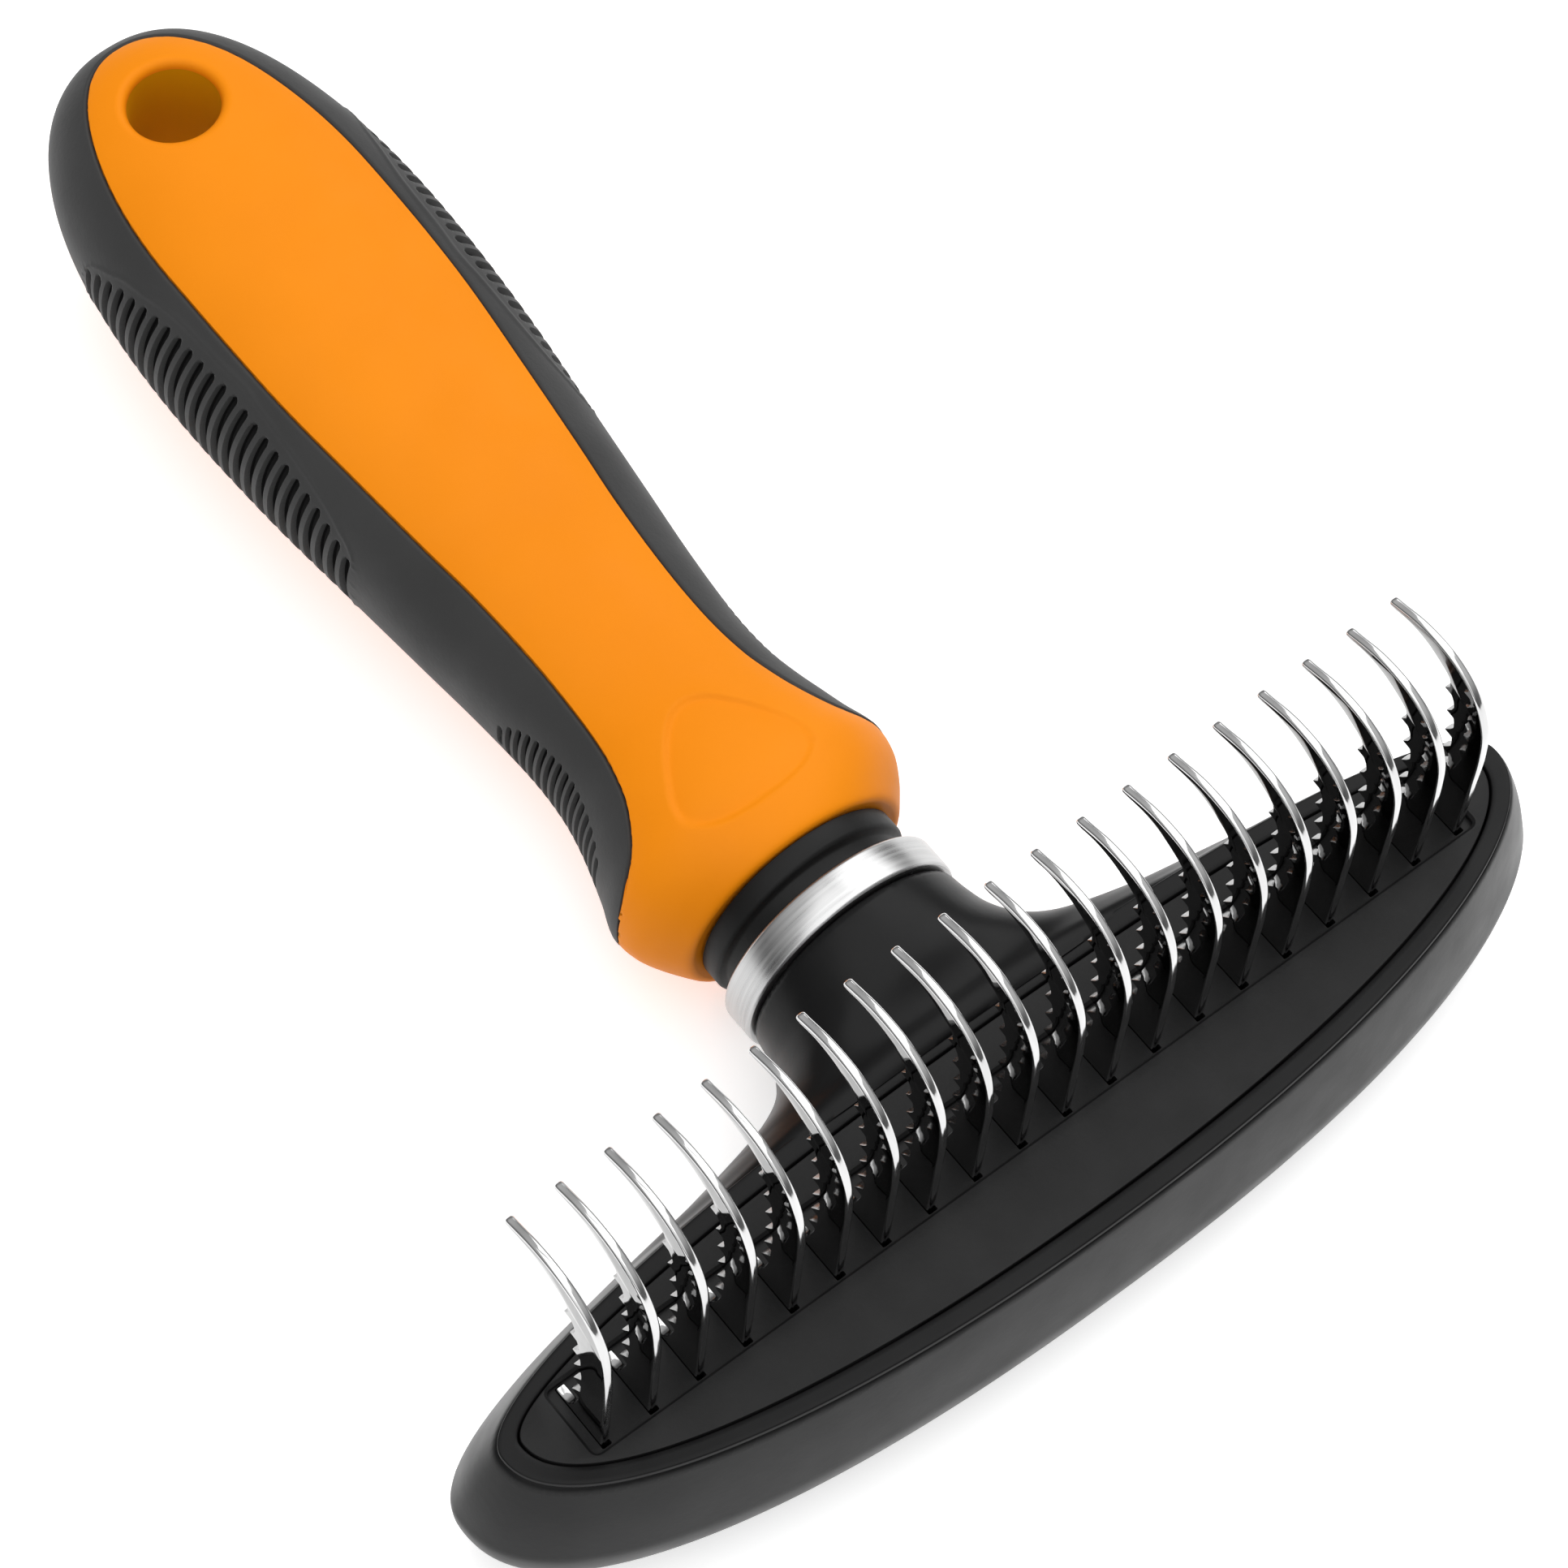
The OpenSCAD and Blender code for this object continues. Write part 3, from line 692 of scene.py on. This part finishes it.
# ---------------------------------------------------------------- rubber sleeve
LONG_LENS = [[101.0, 0.0], [101.8, 3.6], [103.2, 5.0], [105.3, 5.8], [107.1, 6.4], [109.1, 6.9],
             [113.1, 7.6], [117.1, 8.1], [121.2, 8.5], [125.1, 8.9], [129.1, 8.8], [134.9, 8.6],
             [138.8, 8.2], [142.6, 7.4], [146.6, 6.4], [148.4, 5.5], [150.7, 4.3], [152.4, 2.9],
             [153.6, 0.0]]
SHORT_LENS = [[54.6, 0.0], [55.3, 3.2], [55.8, 4.0], [57.4, 5.2], [59.0, 5.7], [61.7, 6.1],
              [64.4, 6.15], [67.1, 6.0], [69.8, 5.6], [72.4, 5.0], [73.7, 4.4], [75.0, 3.5],
              [76.4, 2.1], [77.3, 0.0]]
LENSES = [  # outline, first groove, pitch, count, half width, depth
    (LONG_LENS, 102.75, 2.05, 25, 0.66, 1.25),
    (SHORT_LENS, 55.95, 1.365, 16, 0.44, 0.95)]
SIDE_END = 153.6


def side_stations():
    """Rows of the sleeve along its sides, close together at the edges of the grooves."""
    s = set(np.round(np.arange(TIP_U + 1.2, SIDE_END, 0.7), 4))
    s |= set(np.round(TIP_U + np.array([0.0, 0.04, 0.12, 0.25, 0.45, 0.7, 0.95]), 4))
    for _, g0, pitch, count, r, _ in LENSES:
        lo, hi = g0 - pitch, g0 + pitch * count
        s = {t for t in s if not lo < t < hi}
        across = (-r, -r + 0.07, -r + 0.14, -r + 0.22, -r * 0.35,
                  r * 0.35, r - 0.22, r - 0.14, r - 0.07, r)
        for i in range(count):
            s |= {round(g0 + pitch * i + d, 4) for d in across}
            s.add(round(g0 + pitch * (i + 0.5), 4))
        s |= {round(g0 + pitch * k, 4) for k in (-0.5, -0.8, count - 0.2)}
    s.add(SIDE_END)
    return np.array(sorted(s))


side_u = side_stations()


def by_arc(path, n):
    """n points at equal distances along a path."""
    d = np.r_[0, np.cumsum(np.linalg.norm(np.diff(path, axis=0), axis=1))]
    t = np.linspace(0, d[-1], n)
    return np.c_[np.interp(t, d, path[:, 0]), np.interp(t, d, path[:, 1])]


N_END = 72
ang = np.linspace(0, pi / 2, 4001)
su = SIDE_END + (END_U - SIDE_END) * np.sin(ang)
wu = SIDE_END + (WIN_END - SIDE_END) * np.sin(ang)
s_end = by_arc(np.c_[half_w(su), su], N_END)
w_end = by_arc(np.c_[win_w(wu), wu], N_END)
S = np.vstack([np.c_[half_w(side_u), side_u], s_end[1:]])
W = np.vstack([np.c_[np.minimum(win_w(side_u), half_w(side_u)), side_u], w_end[1:]])
# the U of the sleeve: down one side, round the end, up the other
S = np.vstack([S * [-1, 1], S[::-1][1:]])
W = np.vstack([W * [-1, 1], W[::-1][1:]])
ROWS = 60
tau = np.linspace(-1, 1, 2 * ROWS + 1)
mixw = 1 - np.cos(pi / 2 * np.abs(tau))
plan = S[:, None, :] + (W - S)[:, None, :] * mixw[None, :, None]
px, pu = plan[..., 0], plan[..., 1]
side_sign = np.sign(tau)[None, :]
pz = np.where(side_sign == 0, mid_z(pu), skin_z(px, pu, np.where(side_sign == 0, 1, side_sign)))
outer = np.stack([px, pu, pz], -1)
normal = grid_normals(outer)
lag = 3 * (pu > 160) * (pu - 160) / 5  # round the end, outwards means away from further back
axis = np.stack([px * 0, pu - lag, mid_z(pu)], -1)
flip = np.sign((normal * (outer - axis)).sum(-1))
normal *= np.where(flip == 0, 1, flip)[..., None]
# both ends of the U come to a point
normal[0] = normal[1]
normal[-1] = normal[-2]

dz = np.abs(pz - mid_z(pu))
disp = np.full(px.shape, 0.12)  # the rubber stands a little proud of the moulding
for lens, g0, pitch, count, r, depth in LENSES:
    for i in range(count):
        g = g0 + pitch * i
        reach = max(float(curve(lens, g)) - 0.15 - r, 0.05)
        d = np.hypot(np.maximum(dz - reach, 0), pu - g)
        disp -= depth * smooth01((r - d) / 0.24)
    h = curve(lens, pu)
    near = (pu > lens[0][0]) & (pu < lens[-1][0])
    lip = np.exp(-((dz - h - 0.75) / 0.22) ** 2) * near * (pitch > 2)
    disp += 0.13 * lip
gap_edge = np.linalg.norm(outer - outer[:, :1], axis=2)
gap_edge = np.minimum(gap_edge, np.linalg.norm(outer - outer[:, -1:], axis=2))
EDGE_ROUND = 0.38
q = np.clip((EDGE_ROUND - gap_edge) / EDGE_ROUND, 0, 1)
disp -= 0.34 * (1 - np.sqrt(1 - q ** 2))
ends = np.r_[np.linspace(0, 1, 8), np.ones(len(S) - 16), np.linspace(1, 0, 8)]
disp = np.where(disp > 0, disp * ends[:, None], disp)
skin = outer + normal * disp[..., None]
width = np.linalg.norm(S - W, axis=1)
EDGE_DEPTH, BODY_DEPTH = 0.35, 1.9
deep = np.clip(width * 0.5, 0.02, BODY_DEPTH)[:, None, None]
wall = [outer + normal * (-EDGE_DEPTH - deep * k) for k in (0.35, 1.0)]
inner = outer - normal * (EDGE_DEPTH + deep)
loop = np.concatenate([skin, wall[0][:, -1:], wall[1][:, -1:], inner[:, -2:0:-6],
                       wall[1][:, :1], wall[0][:, :1]], axis=1)
nrow, ncol = loop.shape[:2]
f = grid_quads(nrow, ncol, wrap_m=True)
f += [tuple(range(ncol))[::-1], tuple(range((nrow - 1) * ncol, nrow * ncol))]
height = np.zeros((nrow, ncol))
height[:, :disp.shape[1]] = disp
# faces inside the grooves get the painted shade copy of the rubber
groove_shade_faces = height.reshape(-1)[np.array(f[:-2])].max(1) < -0.3  # faces inside the grooves
make_piece("grip_rubber_sleeve", loop.reshape(-1, 3), f, [RUBBER, RUBBER_PAINTED_SHADE], ["grip_sleeve"],
           sharp=60, face_mats=np.r_[groove_shade_faces.astype(int), 0, 0])

# ---------------------------------------------------------------- orange core
# outline of the shield-shaped recess near the collar: x, u
PAD = np.array([(0.5, 62.4), (2.6, 61.4), (4.6, 59.3), (6.6, 56.6), (8.2, 53.8), (9.0, 51.4),
                (8.5, 49.3), (6.8, 47.9), (3.9, 46.9), (0.2, 46.5), (-3.6, 46.6), (-6.6, 47.3),
                (-8.6, 48.6), (-9.6, 50.4), (-9.3, 52.6), (-8.0, 55.2), (-6.0, 58.3),
                (-3.8, 60.8), (-1.7, 62.2)])
PAD_C = np.array([-0.4, 53.5])
pad_a = np.arctan2(PAD[:, 1] - PAD_C[1], PAD[:, 0] - PAD_C[0])
order = np.argsort(pad_a)
pad_a = pad_a[order]
pad_r = np.hypot(PAD[:, 0] - PAD_C[0], PAD[:, 1] - PAD_C[1])[order]
pad_t = np.c_[np.r_[pad_a - 2 * pi, pad_a, pad_a + 2 * pi], np.tile(pad_r, 3)]

rows_u = np.unique(np.round(np.r_[
    CORE_U0 + np.array([0.0, 0.05, 0.15, 0.3, 0.45, 0.6, 0.9]),
    np.arange(42.0, 64, 0.36), np.arange(64, 150, 1.0), np.arange(150, 168, 0.5),
    WIN_END - 4.9 * (1 - np.sin(np.linspace(0, pi / 2, 40))),
    WIN_END + np.array([0.1, 0.2, 0.35, 0.6, 1.0, 1.4])], 4))
half_cols = np.r_[0, 0.10, 0.20, 0.30, 0.42, 0.6, 0.85]
N_TOP, N_SIDE = 40, 22
side_t = np.linspace(-1, 1, 2 * N_SIDE + 1)[1:-1]
upper = -np.sign(side_t)
core = []
for u in rows_u:
    a = float(half_w(u))
    w = min(float(win_w(u)), a * 0.985) if u < WIN_END else 0.0
    w = max(w, 1e-3)
    near = half_cols * min(1.0, w / 6)
    xs = np.r_[w - near, np.linspace(w - near[-1], 0, N_TOP)[1:]]
    xs = np.r_[xs, -xs[-2::-1]]
    side = a + (w - a) * (1 - np.cos(pi / 2 * np.abs(side_t)))
    zs = skin_z(side, np.full(len(side), u), np.where(upper == 0, 1, upper))
    zs = np.where(upper == 0, mid_z(u), zs)
    line = np.r_[np.c_[xs, skin_z(xs, u, 1)], np.c_[-side, zs],
                 np.c_[-xs, skin_z(xs, u, -1)], np.c_[side, mid_z(u) - (zs - mid_z(u))]]
    core.append(np.c_[line[:, 0], np.full(len(line), u), line[:, 1]])
core = np.array(core)
cn = grid_normals(core, wrap=True)
axis_pt = core.copy()
axis_pt[..., 0] = 0
axis_pt[..., 2] = mid_z(core[..., 1])
cn *= np.sign((cn * (core - axis_pt)).sum(-1) + 1e-12)[..., None]
wl = np.r_[np.linspace(TIP_U, 168, 420),
           WIN_END - 4.3 * (1 - np.sin(np.linspace(0, pi / 2, 120)))]
ww = np.minimum(win_w(wl), half_w(wl))
border = np.vstack([np.c_[s * ww, wl, skin_z(ww, wl, k)] for s in (1, -1) for k in (1, -1)])
flat = core.reshape(-1, 3)
dist = np.empty(len(flat))
for i in range(0, len(flat), 2000):
    dist[i:i + 2000] = np.sqrt(((flat[i:i + 2000, None, :] - border[None]) ** 2).sum(-1).min(1))
cx, cu, cz = flat.T
covered = (cu > TIP_U) & (np.abs(cx) > np.minimum(win_w(cu), half_w(cu)) + 1e-4)
covered |= cu >= WIN_END
s = np.where(covered, dist, -dist)  # the moulding sinks where the sleeve lies on it
drop = 0.62 * smooth01((s + 0.36) / 0.36) + 1.1 * smooth01(s / 0.9)
FRONT_ROUND, PAD_DEPTH = 0.9, 0.45
front = np.clip((FRONT_ROUND - (cu - CORE_U0)) / FRONT_ROUND, 0, 1)
drop += FRONT_ROUND * (1 - np.sqrt(1 - front ** 2))
th = np.arctan2(cu - PAD_C[1], cx - PAD_C[0])
rr = np.hypot(cx - PAD_C[0], cu - PAD_C[1])
on_top = cz > mid_z(cu)
in_pad = smooth01((curve(pad_t, th) - rr) / 0.5)
drop += np.where(on_top & (cu < 66), PAD_DEPTH * in_pad, 0)
verts = [tuple(p) for p in flat - cn.reshape(-1, 3) * drop[:, None]]
nr, nc = core.shape[:2]

# hanging hole: a round patch on each side, rolled over into the tunnel
HOLE_GAP, N_HOLE, TUNNEL_ROWS = 8.3, 144, 8
at = core.reshape(-1, 3)
faces = [q for q in grid_quads(nr, nc, wrap_m=True)
         if min(np.hypot(at[i, 0], at[i, 1] - HOLE_U) for i in q) > HOLE_GAP]
edge_count = {}
for q in faces:
    for a, b in zip(q, q[1:] + q[:1]):
        k = (min(a, b), max(a, b))
        edge_count[k] = edge_count.get(k, 0) + 1
loose = [k for k, c in edge_count.items() if c == 1]
links = {}
for a, b in loose:
    links.setdefault(a, []).append(b)
    links.setdefault(b, []).append(a)
alpha = np.linspace(-pi, pi, N_HOLE, endpoint=False)


def band(r1, r2):
    """Quads between two rings of the hole."""
    return list(zip(r1, r1[1:] + r1[:1], r2[1:] + r2[:1], r2))


tunnel_ends = []
for side in (1, -1):
    near = [i for i in links if side * (at[i, 2] - mid_z(at[i, 1])) > 0
            and np.hypot(at[i, 0], at[i, 1] - HOLE_U) < 12]
    ang_of = {i: np.arctan2(at[i, 1] - HOLE_U, at[i, 0]) for i in near}
    ring = [min(near, key=lambda i: ang_of[i])]
    ahead = links[ring[0]][:1]
    while ahead:  # walk once round the edge of the gap
        ring.append(ahead[0])
        ahead = [i for i in links[ring[-1]] if i not in ring]
    turn = sum(at[a, 0] * at[b, 1] - at[b, 0] * at[a, 1]
               for a, b in zip(ring, ring[1:] + ring[:1]))
    if turn < 0:
        ring = ring[:1] + ring[:0:-1]
    rings = []
    steps = [(r, 0.0) for r in (8.0, 7.78, 7.56, 7.34, 7.12)]
    steps += [(HOLE_R + HOLE_FILLET * (1 - sin(b)), HOLE_FILLET * (1 - cos(b)))
              for b in np.linspace(0, pi / 2, 11)]
    for r, down in steps:
        x, u = r * np.cos(alpha), HOLE_U + r * np.sin(alpha)
        z = skin_z(x, u, side) - side * down
        rings.append(list(range(len(verts), len(verts) + N_HOLE)))
        verts += [tuple(p) for p in np.c_[x, u, z]]
    for r1, r2 in zip(rings, rings[1:]):
        faces += band(r1, r2)
    tunnel_ends.append(rings[-1])
    # triangles between the edge of the gap (a) and the first ring (b)
    a_list = ring + [ring[0]]
    aa = list(np.maximum.accumulate(np.unwrap([ang_of[i] for i in ring])))
    aa.append(ang_of[ring[0]] + 2 * pi)
    start = int(np.argmin(np.abs(alpha - aa[0])))
    b_list = [rings[0][(start + k) % N_HOLE] for k in range(N_HOLE + 1)]
    ba = [alpha[start] + 2 * pi * k / N_HOLE for k in range(N_HOLE + 1)]
    i = j = 0
    while i < len(a_list) - 1 or j < N_HOLE:
        if j >= N_HOLE or (i < len(a_list) - 1 and aa[i + 1] < ba[j + 1]):
            faces.append((a_list[i], a_list[i + 1], b_list[j]))
            i += 1
        else:
            faces.append((a_list[i], b_list[j + 1], b_list[j]))
            j += 1
bore_first = len(faces)
top_ring, bot_ring = tunnel_ends
prev = top_ring
for k in range(1, TUNNEL_ROWS + 1):
    if k == TUNNEL_ROWS:
        cur = bot_ring
    else:
        cur = list(range(len(verts), len(verts) + N_HOLE))
        t = k / TUNNEL_ROWS
        verts += [tuple(np.array(verts[a]) * (1 - t) + np.array(verts[b]) * t)
                  for a, b in zip(top_ring, bot_ring)]
    faces += band(prev, cur)
    prev = cur
faces += [tuple(range(nc))[::-1], tuple(range((nr - 1) * nc, nr * nc))]
mats = np.zeros(len(faces), int)
# the tunnel of the hole gets the painted shade copy of the orange
mats[bore_first:-2] = 1
make_piece("handle_body", verts, faces, [ORANGE, ORANGE_BORE_PAINTED_SHADE], ["handle_core"],
           sharp=50, face_mats=mats)

# ---------------------------------------------------------------- carried-over nodes
CARRIED = dict.fromkeys(("retainer_screws", "carrier_screws", "blade_rod", "rod_clips",
                         "neck_screw", "neck_washer"), SCREW_STEEL)
CARRIED.update(neck_insert=BRASS, blade_retainer=CARRIER_BLACK)
for name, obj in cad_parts.items():
    if name in CARRIED:
        obj.data.materials.clear()
        obj.data.materials.append(CARRIED[name])

# ---------------------------------------------------------------- floor, light, camera
bpy.context.scene.view_settings.view_transform = "Standard"
FLOOR_SIZE, FLOOR_GAP = 6, 0.0002
floor_z = float(cad_box[0][2])
bpy.ops.mesh.primitive_grid_add(x_subdivisions=8, y_subdivisions=8, size=FLOOR_SIZE,
                                location=(0, 0, floor_z - FLOOR_GAP))
floor = bpy.context.object
floor.name = "studio_floor"
fm, nt, bsdf, vec = new_material("studio_floor")
nt.links.new(ramp(nt, noise(nt, vec, 6.0, 3.0), (0.80, 0.80, 0.80), (0.82, 0.82, 0.82)),
             bsdf.inputs["Base Color"])
bsdf.inputs["Roughness"].default_value = 0.9
bsdf.inputs["Specular IOR Level"].default_value = 0.1
bsdf.inputs["Emission Color"].default_value = (1, 1, 1, 1)
bsdf.inputs["Emission Strength"].default_value = 0.52
floor.data.materials.append(fm)

world = bpy.data.worlds.new("studio")
bpy.context.scene.world = world
world.use_nodes = True
wn = world.node_tree
background = wn.nodes["Background"]
background.inputs["Color"].default_value = (1, 1, 1, 1)
where = wn.nodes.new("ShaderNodeTexCoord")
split = wn.nodes.new("ShaderNodeSeparateXYZ")
wn.links.new(where.outputs["Generated"], split.inputs["Vector"])


def world_step(value, low, high, out_low, out_high):
    """The room gets lighter from out_low to out_high as the direction goes from low to high."""
    mr = wn.nodes.new("ShaderNodeMapRange")
    mr.interpolation_type = "SMOOTHSTEP"
    for name, number in (("From Min", low), ("From Max", high),
                         ("To Min", out_low), ("To Max", out_high)):
        mr.inputs[name].default_value = number
    wn.links.new(value, mr.inputs["Value"])
    return mr.outputs["Result"]


total = wn.nodes.new("ShaderNodeMath")
total.operation = "ADD"
wn.links.new(world_step(split.outputs["Z"], 0.2, 0.8, 0.13, 0.62), total.inputs[0])
wn.links.new(world_step(split.outputs["X"], 0.2, 0.9, 0.0, 0.16), total.inputs[1])
wn.links.new(total.outputs["Value"], background.inputs["Strength"])


def area_light(name, location, target, size, power):
    data = bpy.data.lights.new(name, "AREA")
    data.shape = "RECTANGLE"
    data.size, data.size_y = size
    data.energy = power
    obj = bpy.data.objects.new(name, data)
    bpy.context.scene.collection.objects.link(obj)
    obj.location = location
    obj.rotation_euler = (Vector(target) - Vector(location)).to_track_quat("-Z", "Y").to_euler()


area_light("key_light", (0.85, 0.35, 1.0), (0, 0, 0.02), (1.1, 1.1), 7.5)
area_light("fill_light", (-0.75, -0.65, 0.75), (0, 0, 0.02), (1.2, 1.2), 3)
area_light("top_light", (-0.15, -0.1, 1.5), (0, 0, 0.0), (1.5, 1.5), 10)

# camera fitted to the photograph
PHOTO_PX, FOCAL_PX, SENSOR = 1932, 7124.71, 36.0
CAM_AT = (-0.19955, -0.25796, 0.59994)
az, el, roll = radians(-41.7807), radians(62.0278), radians(3.9662)
cam_data = bpy.data.cameras.new("camera")
cam = bpy.data.objects.new("camera", cam_data)
bpy.context.scene.collection.objects.link(cam)
right = Vector((cos(az), sin(az), 0))
back = Vector((sin(az) * cos(el), -cos(az) * cos(el), sin(el)))
up = back.cross(right)
cam_x = cos(roll) * right + sin(roll) * up
cam_y = -sin(roll) * right + cos(roll) * up
cam.matrix_world = Matrix([(cam_x[k], cam_y[k], back[k], CAM_AT[k]) for k in range(3)]
                          + [(0, 0, 0, 1)])
cam_data.sensor_width = SENSOR
cam_data.lens = FOCAL_PX / PHOTO_PX * SENSOR
cam_data.clip_end = 20
bpy.context.scene.camera = cam
